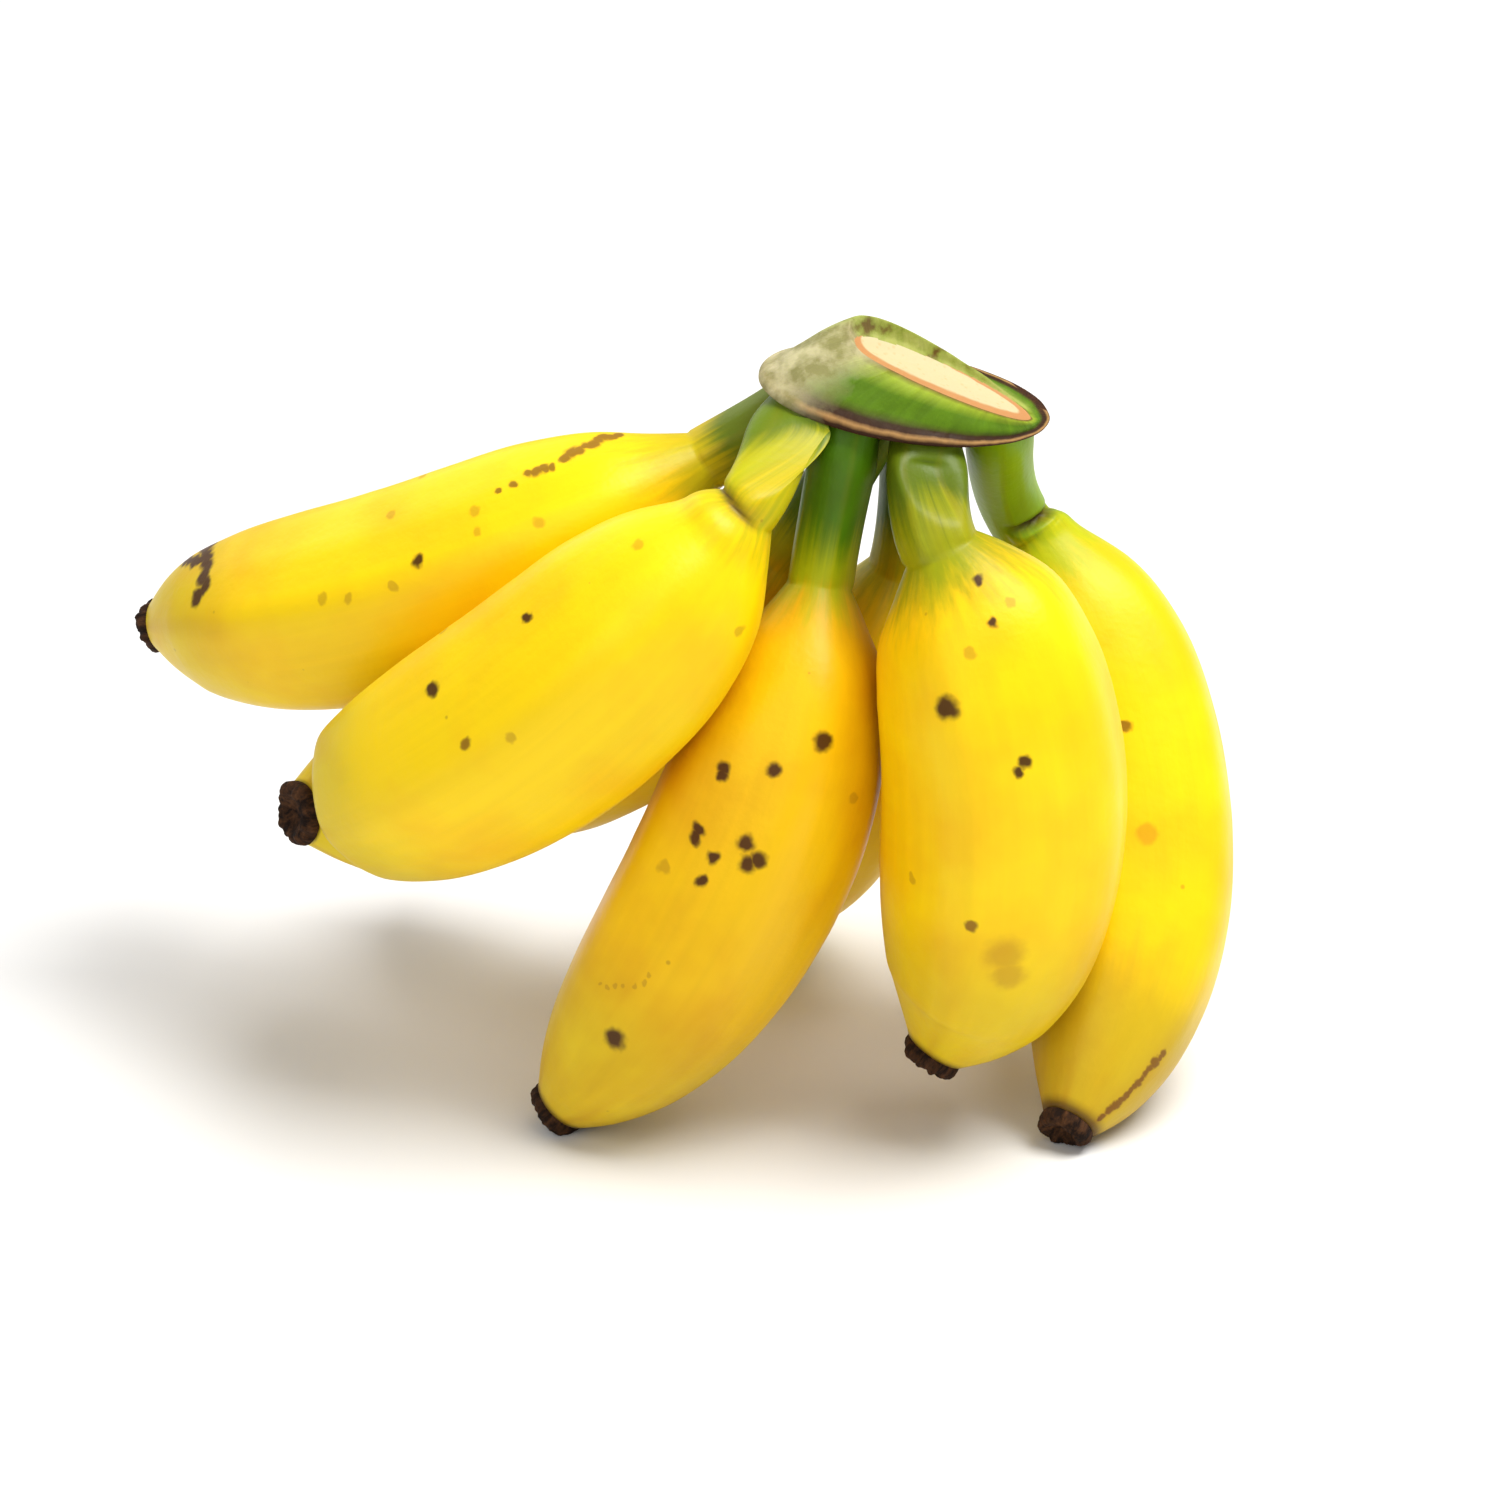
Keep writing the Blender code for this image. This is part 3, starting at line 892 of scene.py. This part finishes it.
        tip, thin = self.tip_width / 2, self.neck_width / 2
        s = share_along
        flare = self.neck_flare / 2 * (1 - t[:, 0]) ** 3
        swell = 1 + (self.neck_swell - 1) * np.exp(-(s * length / self.SWELL_REACH) ** 2)
        rise = thin + (half_girth - thin) * along_table(self.SHOULDER, np.minimum(s, 0.5))
        fall = tip + (half_girth - tip) * along_table(self.TAPER, np.maximum(s, 0.5))
        # The neck is waisted just under the crown, so that the rim overhangs it.
        waist = 1 - self.waist * np.exp(-(t[:, 0] * neck_length / self.WAIST_REACH) ** 2)
        self.radius = np.concatenate([(thin + flare) * self.neck_swell * waist,
                                      np.where(s < 0.5, rise * swell, fall)])
        step = np.linalg.norm(np.diff(self.line, axis=0), axis=1)
        self.along = np.concatenate([[0.0], np.cumsum(step)])
        self.along -= self.along[self.neck_rings]

        ahead = np.gradient(self.line, axis=0)
        ahead /= np.linalg.norm(ahead, axis=1)[:, None]
        normal = unit(curl - (curl @ ahead[0]) * ahead[0])
        self.angle = 2 * np.pi * np.arange(self.around) / self.around
        travelled = np.linalg.norm(self.line - root, axis=1)
        rings = []
        for k, tangent in enumerate(ahead):
            normal = unit(normal - (normal @ tangent) * tangent)
            across = np.cross(tangent, normal)
            out = np.cos(self.angle)[:, None] * normal + np.sin(self.angle)[:, None] * across
            # Near the crown the rings turn level with its underside.
            lean = max(0.0, 1 - travelled[k] / (self.LEVEL_REACH * self.neck_width))
            lean = lean if k < self.neck_rings else 0.0
            out = out - lean * (np.outer(out @ crown.rim_normal, tangent)
                                / (ahead[0] @ crown.rim_normal))
            rings.append(out)
        self.ahead, self.out = ahead, np.array(rings)
        self.shape_skin(np.concatenate([np.zeros(self.neck_rings), s]))

    def shape_skin(self, share: np.ndarray) -> None:
        """Sets how far the skin stands from the middle line.

        Args:
            share: Share of the way along the body, one a ring.
        """
        five = np.cos(5 * self.angle) + self.FACE_FLAT * np.cos(10 * self.angle)
        on_body = np.sin(np.pi * np.clip(share, 0, 1)) ** 0.55 * self.edge
        fading = np.clip(1 + self.along / self.NECK_EDGE_REACH, 0, 1)
        on_neck = np.where(self.along < 0, self.NECK_EDGE * fading, 0)
        sides = (on_body + on_neck)[:, None] * five
        lumps = self.LUMPS * ripple(self.angle[None, :], share[:, None] * 0.8, self.seed)
        reach = self.radius[:, None] * (1 + sides + lumps)
        fold = np.zeros_like(reach)
        for crease in self.creases:
            away = (self.angle - math.radians(crease.around) + np.pi) % (2 * np.pi) - np.pi
            width = math.radians(crease.half_turn)
            window = np.clip(1 - (away / width) ** 2, 0, 1)[None, :] ** 0.7
            middle = (crease.along_mm + crease.slant_mm * away / width) * MM
            off = (self.along[:, None] - middle[None, :]) / MM
            groove = np.exp(-(off / crease.GROOVE_MM) ** 2) * window
            puffed = np.exp(-((off - crease.PUFF_AT_MM) / crease.PUFF_WIDE_MM) ** 2) * window
            reach = reach - crease.depth_mm * MM * groove + crease.puff_mm * MM * puffed
            dark = crease.DARKEST * np.exp(-(off / crease.dark_mm) ** 2) * window
            fold = np.maximum(fold, dark)
        self.reach, self.fold = reach, fold
        crest = np.clip(five - self.RUB_LEVEL, 0, 1) / (1 + self.FACE_FLAT - self.RUB_LEVEL)
        late = np.clip((share - self.RUB_FROM) / (1 - self.RUB_FROM), 0, 1)
        self.ridge = crest[None, :] ** 1.6 * (
            self.RUB_BODY + self.RUB_TIP * late ** 1.4)[:, None]

    def depth(self, points: np.ndarray) -> np.ndarray:
        """Measures how far points lie outside the finger's round form.

        Args:
            points: Rows of three.

        Returns:
            The distance of each, negative inside.
        """
        # The line starts a little earlier and ends with the stub, so both are kept clear.
        keep = slice(None, None, 4)
        line = np.vstack([self.line[0] - 0.01 * self.ahead[0], self.line[keep], self.line[-1],
                          self.line[-1] + self.tip_length * self.end])
        radius = np.concatenate([[self.radius[0]], self.radius[keep], self.radius[-1:],
                                 0.8 * self.radius[-1:]])
        a, b = line[:-1], line[1:]
        ab = b - a
        rel = points[:, None, :] - a
        t = np.clip((rel * ab).sum(2) / np.maximum((ab * ab).sum(1), 1e-12), 0, 1)
        away = np.linalg.norm(rel - t[..., None] * ab, axis=2)
        return (away - (radius[:-1] * (1 - t) + radius[1:] * t)).min(axis=1)

    def press(self, others: Sequence[Finger]) -> None:
        """Draws in the skin where it would meet a neighbour, with a rounded turn into the flat.

        Args:
            others: The other fingers.
        """
        middle = np.repeat(self.line, self.around, axis=0)
        out = self.out.reshape(-1, 3)
        reach = self.reach.reshape(-1)

        def room(which: np.ndarray, length: np.ndarray) -> np.ndarray:
            """Gives the room left before a neighbour at a length along each ray.

            Args:
                which: Numbers of the rays.
                length: Length along each of them.

            Returns:
                The room, negative where the finger has gone too far.
            """
            points = middle[which] + length[:, None] * out[which]
            nearest = np.min([other.depth(points) for other in others], axis=0)
            return nearest - self.depth(points) - self.gap

        # Only rays that would meet a neighbour a little further out are worked on.
        every = np.arange(len(reach))
        wide = reach * 1.10 + 0.0004
        near = every[room(every, wide) < 0]
        low, high = np.zeros(len(near)), wide[near]
        for _ in range(self.HALVINGS):
            half = (low + high) / 2
            free = room(near, half) >= 0
            low = np.where(free, half, low)
            high = np.where(free, high, half)
        result = reach.copy()
        result[near] = np.maximum(soft_least(reach[near], low, self.PRESS_TURN), self.THINNEST)
        self.reach = result.reshape(self.reach.shape)

    def surface(self, along_mm: float, around: float) -> np.ndarray:
        """Finds a place on the skin.

        Args:
            along_mm: Millimetres past the shoulder.
            around: Degrees around from the inside of the bend.

        Returns:
            The place.
        """
        ring = int(np.abs(self.along - along_mm * MM).argmin())
        column = round(around / 360 * self.around) % self.around
        return self.line[ring] + self.reach[ring, column] * self.out[ring, column]

    def skin_places(self, reach: np.ndarray, along: np.ndarray) -> np.ndarray:
        """Unrolls rings so that a pattern can follow the finger.

        Args:
            reach: Typical radius of each ring.
            along: Distance of each ring past the shoulder.

        Returns:
            One row of three a point.
        """
        flat = np.broadcast_arrays(np.cos(self.angle) * reach[:, None],
                                   np.sin(self.angle) * reach[:, None], along[:, None])
        return np.stack(flat, axis=-1).reshape(-1, 3)

    def build_peel(self, crown: Crown) -> bpy.types.Object:
        """Builds the peel from under the crown to the blossom end and dresses it.

        Args:
            crown: The crown that the neck hangs from.

        Returns:
            The peel.
        """
        place = np.array(crown.standing_at)
        rings = self.line[:, None, :] + self.reach[..., None] * self.out
        # The neck is let into the underside, so no daylight shows between them.
        seat = np.array([self.line[0] + back * MM * crown.rim_normal
                         + (rings[0] - self.line[0]) * w for back, w in self.SEAT])
        rings = np.concatenate([crown.keep_under(seat), crown.keep_under(rings)])
        closing = [self.line[-1] + self.CLOSING_RISE * self.end + (rings[-1] - self.line[-1]) * w
                   for w in self.CLOSING]
        rings = np.concatenate([rings, np.array(closing)]) + place
        rings[..., 2] = np.maximum(rings[..., 2], 0.0)
        piece = mesh_of_rings(self.name + "_peel", rings)
        seats = len(self.SEAT)
        tip = self.radius[-1:]
        radius = np.concatenate([self.radius[:1]] * seats
                                + [self.radius, tip, tip * self.CLOSING[-1]])
        # A pattern keeps its size better if the radius it is unrolled at changes slowly.
        radius = 0.5 * radius + 0.5 * self.full_girth / 2
        along = np.concatenate([self.along[0] - np.array(self.SEAT)[:, 0] * MM,
                                self.along, self.along[-1:], self.along[-1:]])
        write_points(piece, "skin", self.skin_places(radius, along))
        dry = np.clip((self.along - self.body_length + self.DRY_WIDTH) / self.DRY_FADE, 0, 1)
        fold = np.maximum(self.fold, self.DRY_EDGE * dry[:, None] ** 1.5)
        pad = np.ones((2, self.around))
        fold = np.concatenate([fold[:1]] * seats + [fold, self.DRY_EDGE * pad])
        ridge = np.concatenate([self.ridge[:1]] * seats + [self.ridge, 0 * pad])
        write_points(piece, "fold", fold.reshape(-1))
        write_points(piece, "ridge", ridge.reshape(-1))
        marks = [(mark, self.surface(mark.along_mm, mark.around) + place)
                 for mark in self.marks]
        piece.data.materials.append(self.peel.material(
            "Banana peel, waxy, " + self.name, marks, self.body_length / MM))
        return piece

    def build_stub(self, crown: Crown) -> bpy.types.Object:
        """Builds the dry blossom end, hollow in its middle and torn around its rim.

        Args:
            crown: The crown that the hand is placed by.

        Returns:
            The stub.
        """
        rng = np.random.default_rng(500 + self.seed)
        tip, length = self.tip_width / 2, self.tip_length
        out = self.out[-1]
        torn = rng.uniform(-1, 1, self.around)
        torn = (torn + np.roll(torn, 1) + np.roll(torn, 2)) / 2.2
        soft = ripple(self.angle, np.zeros(1), 700 + self.seed, 5)
        # Distance past the peel's end, share of its radius, and share of the tearing.
        rows = ((-0.0010, 0.84, 0.0), (0.0001, 0.90, 0.2), (0.22 * length, 0.955, 0.5),
                (0.48 * length, 0.95, 0.8), (0.72 * length, 0.88, 1.0),
                (0.90 * length, 0.76, 1.0), (0.96 * length, 0.64, 1.0),
                (0.80 * length, 0.50, 0.8), (0.52 * length, 0.34, 0.5),
                (0.40 * length, 0.14, 0.2))
        rings = []
        for ahead, share, ragged in rows:
            reach = tip * share * (1 + ragged * (0.07 * torn + 0.05 * soft))
            rise = ahead + ragged * 0.00022 * (torn + soft)
            rings.append(self.line[-1] + rise[:, None] * self.end + reach[:, None] * out)
        placed = np.array(rings) + np.array(crown.standing_at)
        placed[..., 2] = np.maximum(placed[..., 2], 0.0)
        piece = mesh_of_rings(self.name + "_stub", placed)
        write_points(piece, "skin", self.skin_places(
            np.array([tip * row[1] for row in rows]), np.array([row[0] for row in rows])))
        piece.data.materials.append(self.stub.material("Blossom end, dried, " + self.name))
        return piece


# ---------------------------------------------------------------- hand
@dataclass
class Hand:
    """The whole hand: its crown and its fingers."""

    crown: Crown
    fingers: list[Finger]

    def build(self) -> None:
        """Builds and dresses every piece, attaches each to the body and hides the CAD node it
        stands for.
        """
        for finger in self.fingers:
            finger.grow(self.crown)
        for finger in self.fingers:
            finger.press([other for other in self.fingers if other is not finger])
        pad = self.crown.build()
        self.settle(pad, "crown")
        for finger in self.fingers:
            self.settle(finger.build_peel(self.crown), finger.name)
            self.settle(finger.build_stub(self.crown), finger.name)

    def settle(self, piece: bpy.types.Object, node: str) -> None:
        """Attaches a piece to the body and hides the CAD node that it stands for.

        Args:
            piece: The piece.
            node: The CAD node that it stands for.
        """
        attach(piece, "root")
        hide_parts(node)
        LOG.info("%s: %d faces, stands for %s", piece.name, len(piece.data.polygons), node)


def seven_fingers() -> list[Finger]:
    """Gives each finger its place, ripeness and marks, with painted shade in the peel colours of
    fingers 3 and 4.

    Returns:
        The fingers.
    """
    spot, scar, fleck, bruise = Stain.SPOT, Stain.SCAR, Stain.FLECK, Stain.BRUISE
    return [
        Finger("finger_1", (-0.44, 0.42), (165, 38, 1.19), (160, 23), 51, 22, 1.09, 0.89,
               nose=(0.0005, -0.0030, 0.0),
               peel=Peel(neck="#66781A", base="#C4B40E", green_reach_mm=10, seed=1.0),
               marks=streak(((79.0, 288), (75.5, 268), (73.6, 246), (74.0, 232)), 1.15, spot)
               + streak(((84.0, 286), (80.5, 276), (77.0, 268)), 0.95, spot)
               + streak(((8.5, 284), (12.5, 268), (15.0, 261)), 0.95, scar, 1.1)
               + streak(((17.0, 258), (20.0, 255)), 0.75, scar, 1.0)
               + lay(scar, (22.5, 254, 0.7), (24.8, 254, 0.6))
               + lay(spot, (37.7, 226, 0.9))
               + lay(fleck, (36.9, 286, 0.9), (29.0, 244, 0.8), (29.0, 230, 0.7),
                     (40.4, 262, 0.8), (20.9, 222, 0.8), (51.4, 222, 0.8), (46.9, 218, 0.7),
                     (41.4, 214, 0.8)), seed=11),
        Finger("finger_2", (-0.78, -0.42), (246, 34, 0.87), (161, 40), 48, 39, 0.99, 0.99,
               nose=(-0.0004, -0.0080, 0.0034), tip_width=0.0092,
               peel=Peel(neck="#62780A", base="#B0AE0A", end="#DABF12", green_reach_mm=5,
                         seed=2.0),
               marks=lay(spot, (45.9, 262, 1.1), (28.6, 260, 0.75))
               + lay(scar, (42.6, 224, 0.8))
               + lay(fleck, (37.6, 218, 0.8), (43.4, 292, 0.9), (10.8, 258, 0.8),
                     (10.3, 156, 0.8)),
               creases=(Crease(-0.2, 248, 82, -0.6, 0.9, 1.0),), seed=12),
        Finger("finger_3", (-0.36, -0.62), (181, 80, 1.20), (198, 63), 44, 31, 0.97, 0.92,
               # Finger 3's ripe and deep are a darker gold than the others': painted shade, for
               # the shadow that finger 2 casts on it.
               peel=Peel(neck="#507F0A", base="#A9B40C", ripe="#E8B902", deep="#DCAC0A",
                         green_reach_mm=6, seed=3.0),
               marks=lay(spot, (17.9, 210, 1.35), (23.5, 234, 0.95), (25.4, 259, 0.95),
                         (26.6, 261, 0.85), (33.8, 262, 1.0), (35.2, 261, 0.9),
                         (33.2, 236, 1.25), (34.0, 225, 1.15), (35.0, 231, 1.1),
                         (36.8, 246, 0.9), (40.1, 248, 0.8), (65.5, 244, 1.5))
               + lay(fleck, (24.3, 180, 0.9), (41.7, 272, 0.9))
               + streak(((60.6, 268), (55.3, 246)), 0.35, fleck),
               tuck=0.0014, tip_width=0.0088, seed=13),
        Finger("finger_4", (0.15, -0.70), (280, 49, 0.80), (305, 89), 58, -56, 0.89, 1.03,
               # Finger 4's neck and base are a darker olive than the others': partly the neck's
               # own colour, partly painted shade.
               peel=Peel(neck="#586C0A", base="#969C0A", green_reach_mm=9, seed=4.0),
               marks=lay(spot, (16.4, 290, 1.6), (25.7, 258, 0.95), (26.6, 263, 0.8),
                         (4.2, 244, 0.75), (8.8, 254, 0.75))
               + lay(fleck, (7.8, 232, 0.8), (11.2, 272, 0.8), (44.2, 320, 0.8))
               + lay(scar, (47.2, 284, 0.9))
               + lay(bruise, (51.0, 265, 2.6), (54.0, 263, 2.2)),
               neck_swell=1.20, tuck=0.0016, nose=(-0.0006, -0.0018, 0.0004),
               tip_width=0.0088, seed=14),
        Finger("finger_5", (0.66, 0.06), (71, 56, 1.44), (277, 59), 76, 26, 1.024, 0.91,
               peel=Peel(neck="#7EA80A", base="#BCC80A", end="#C8A818", green_reach_mm=13,
                         seed=5.0),
               marks=lay(fleck, (47.5, 262, 1.5))
               + lay(scar, (30.4, 266, 0.9))
               + streak(((87.0, 216), (82.0, 215), (76.0, 214)), 0.6, scar, 0.6),
               creases=(Crease(-3.0, 232, 76, -1.8, 1.5, 1.2, 1.25),), seed=15),
        Finger("finger_6", (0.12, 0.54), (126, 83, 1.45), (125, 56), 43, 73, 0.98, 0.95,
               peel=Peel(neck="#4A6A10", base="#A8A80C", green_reach_mm=6, seed=6.0),
               marks=lay(spot, (30, 150, 1.0), (44, 110, 0.8))
               + lay(fleck, (22, 90, 0.8), (52, 60, 1.1))
               + lay(scar, (60, 140, 0.9)), seed=16),
        Finger("finger_7", (-0.12, 0.20), (165, 62, 1.49), (143, 38), 46, 51, 0.95, 0.82,
               peel=Peel(neck="#4E6C10", base="#A8A80C", green_reach_mm=6, seed=7.0),
               marks=lay(spot, (36, 120, 0.9))
               + lay(fleck, (24, 80, 0.8), (55, 100, 0.9)),
               seed=17),
    ]


# ---------------------------------------------------------------- studio
@dataclass
class Studio:
    """Plain white paper, a broad soft light above and behind, and two fills."""

    target: tuple[float, float, float] = (0.0107, -0.0088, 0.0494)
    distance: float = 0.70
    elevation: float = 25.0
    frame_width: float = 0.2055
    sensor_mm: float = 36.0
    half_floor: float = 3.0
    floor_steps: int = 25
    flat_radius: float = 1.6
    bow: float = 0.02
    paper: StudioPaper = field(default_factory=StudioPaper)

    # Name, place, width, watts and colour of each light.
    LIGHTS = (("key", (0.50, -0.12, 1.22), 0.80, 23.0, (1.0, 0.99, 0.97)),
              ("front_fill", (-0.45, -1.0, 0.80), 1.2, 4.6, (1.0, 1.0, 1.0)),
              ("back_fill", (-0.70, 0.90, 0.80), 1.0, 4.5, (1.0, 1.0, 1.0)))

    def lay_floor(self) -> None:
        """Lays the paper, a little bowed at its far edges."""
        steps = np.linspace(-self.half_floor, self.half_floor, self.floor_steps)
        x, y = np.meshgrid(steps, steps, indexing="ij")
        z = self.bow * np.maximum(np.hypot(x, y) - self.flat_radius, 0.0) ** 2
        count = len(steps)
        faces = [(i * count + j, (i + 1) * count + j, (i + 1) * count + j + 1,
                  i * count + j + 1) for i in range(count - 1) for j in range(count - 1)]
        mesh = bpy.data.meshes.new("studio_paper")
        mesh.from_pydata(np.stack([x, y, z], axis=-1).reshape(-1, 3).tolist(), [], faces)
        mesh.polygons.foreach_set("use_smooth", [True] * len(mesh.polygons))
        mesh.materials.append(self.paper.material("Background paper, rolled"))
        floor = bpy.data.objects.new("studio_paper", mesh)
        bpy.context.scene.collection.objects.link(floor)
        LOG.info("studio_paper: floor")

    def hang(self, name: str, data: Any, place: Sequence[float]) -> bpy.types.Object:
        """Hangs a light or the camera so that it faces the hand.

        Args:
            name: Its name.
            data: The light or the lens.
            place: Where it hangs.

        Returns:
            The light or the camera, in the scene.
        """
        thing = bpy.data.objects.new(name, data)
        thing.location = place
        aim = Vector(self.target) - thing.location
        thing.rotation_euler = aim.to_track_quat("-Z", "Y").to_euler()
        bpy.context.scene.collection.objects.link(thing)
        return thing

    def build(self) -> None:
        """Lays the floor and sets the lights, the surroundings and the camera."""
        self.lay_floor()
        for name, place, size, power, colour in self.LIGHTS:
            lamp = bpy.data.lights.new(name, "AREA")
            lamp.shape, lamp.size, lamp.energy, lamp.color = "SQUARE", size, power, colour
            self.hang(name, lamp, place)
        world = bpy.data.worlds.new("studio_air")
        world.use_nodes = True
        plug(world.node_tree, world.node_tree.nodes["Background"],
             {"Color": (1.0, 1.0, 1.0, 1.0), "Strength": 0.35})
        scene = bpy.context.scene
        scene.world = world
        scene.view_settings.view_transform = "Standard"
        scene.view_settings.look = "None"
        lens = bpy.data.cameras.new("camera")
        lens.sensor_width = self.sensor_mm
        lens.lens = self.sensor_mm * self.distance / self.frame_width
        lens.clip_start, lens.clip_end = 0.05, 20.0
        tilt = math.radians(self.elevation)
        scene.camera = self.hang("camera", lens, Vector(self.target) + self.distance * Vector(
            (0.0, -math.cos(tilt), math.sin(tilt))))
        LOG.info("camera: %.1f mm lens, %.0f degrees up", lens.lens, self.elevation)


def main() -> None:
    """Builds the hand and the studio."""
    logging.basicConfig(level=logging.INFO, format="%(name)s: %(message)s")
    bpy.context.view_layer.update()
    Hand(Crown(), seven_fingers()).build()
    Studio().build()


if __name__ == "__main__":
    main()
